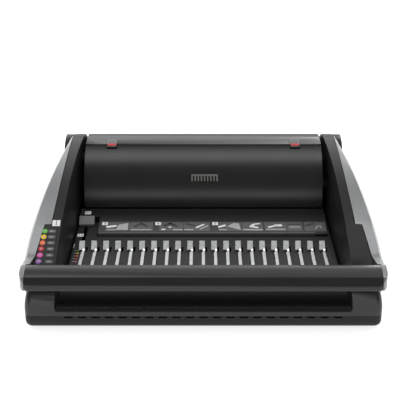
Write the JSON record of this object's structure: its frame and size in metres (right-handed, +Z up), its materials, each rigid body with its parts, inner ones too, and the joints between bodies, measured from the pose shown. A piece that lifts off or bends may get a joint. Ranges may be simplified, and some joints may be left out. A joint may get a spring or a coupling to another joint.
{
  "type": "comb binding machine",
  "caption": "Manual desktop comb punch and binder: lever handle, hooked comb opener, cylindrical punch housing with a hinged top flap and a chip drawer.",
  "frame": {"origin": "on the desk under the middle of the machine's outer box", "axes": "+X right, +Y towards the back, +Z up"},
  "size_m": [0.4124, 0.318, 0.1418],
  "materials": {
    "casing_black": "fine satin mould texture, charcoal black",
    "gloss_black": "semi-gloss black",
    "silver_plastic": "silver painted satin",
    "printed_panel": "satin black with printed guide blocks",
    "plated_steel": "bright zinc plate, light brushing",
    "bronze": "sintered",
    "nylon": "natural nylon",
    "foot_rubber": "matt",
    "grey_plastic": "satin mid grey",
    "latch_black": "ribbed black with a red stripe"
  },
  "bodies": {
    "base": {"base_pan": "casing_black", "foot_1": "foot_rubber", "foot_2": "foot_rubber", "foot_3": "foot_rubber", "foot_4": "foot_rubber", "base_housing": "casing_black", "deck_plate": "casing_black", "instruction_panel": "printed_panel", "left_cheek": "casing_black", "right_cheek": "casing_black", "comb_size_panel": "printed_panel", "punch_cover": "gloss_black", "rear_cover": "casing_black", "front_die": "plated_steel", "rear_die": "plated_steel", "left_frame": "plated_steel", "right_frame": "plated_steel", "left_bushing": "bronze", "right_bushing": "bronze", "cross_tie": "plated_steel", "left_rack_guide": "nylon", "right_rack_guide": "nylon", "left_hinge_pin": "plated_steel", "right_hinge_pin": "plated_steel", "left_handle_spring": "plated_steel", "right_handle_spring": "plated_steel"},
    "handle": {"handle_bar": "gloss_black", "left_arm": "silver_plastic", "right_arm": "silver_plastic", "left_hub": "casing_black", "right_hub": "casing_black", "drive_shaft": "plated_steel", "left_pinion": "plated_steel", "right_pinion": "plated_steel", "left_cam": "plated_steel", "right_cam": "plated_steel"},
    "hook_carriage": {"hook_comb": "plated_steel", "left_rack": "plated_steel", "right_rack": "plated_steel"},
    "punch_press": {"punch_beam": "plated_steel", "punch_set": "plated_steel"},
    "flap": {"paper_flap": "gloss_black"},
    "left_latch": {"left_latch": "latch_black"},
    "right_latch": {"right_latch": "latch_black"},
    "edge_guide": {"edge_guide": "nylon"},
    "selector": {"opening_selector": "grey_plastic"},
    "drawer": {"chip_drawer": "casing_black", "drawer_front": "casing_black"}
  },
  "joints": [
    {"name": "handle_lift", "type": "hinge", "parent": "base", "child": "handle", "pos_m": [0, 0.117, 0.101], "axis": [-1, 0, 0], "range_deg": [0, 95]},
    {"name": "hook_slide", "type": "slide", "parent": "base", "child": "hook_carriage", "axis": [0, -1, 0], "range_m": [0, 0.0266]},
    {"name": "punch_slide", "type": "slide", "parent": "base", "child": "punch_press", "axis": [0, 1, 0], "range_m": [0, 0.0071]},
    {"name": "flap_open", "type": "hinge", "parent": "base", "child": "flap", "pos_m": [0, 0.135, 0.1226], "axis": [-1, 0, 0], "range_deg": [0, 100]},
    {"name": "left_latch_press", "type": "slide", "parent": "flap", "child": "left_latch", "axis": [0, 0, -1], "range_m": [0, 0.001], "stiffness_N_per_m": 400, "springref_m": -0.002},
    {"name": "right_latch_press", "type": "slide", "parent": "flap", "child": "right_latch", "axis": [0, 0, -1], "range_m": [0, 0.001], "stiffness_N_per_m": 400, "springref_m": -0.002},
    {"name": "edge_guide_slide", "type": "slide", "parent": "base", "child": "edge_guide", "axis": [1, 0, 0], "range_m": [0, 0.008]},
    {"name": "selector_slide", "type": "slide", "parent": "base", "child": "selector", "axis": [0, -1, 0], "range_m": [0, 0.045]},
    {"name": "drawer_slide", "type": "slide", "parent": "base", "child": "drawer", "axis": [1, 0, 0], "range_m": [0, 0.12]}
  ],
  "couplings": [
    {"joint": "hook_slide", "follows": "handle_lift", "m_per_rad": 0.016},
    {"joint": "punch_slide", "follows": "handle_lift", "m_per_rad": 0.0042218}
  ]
}
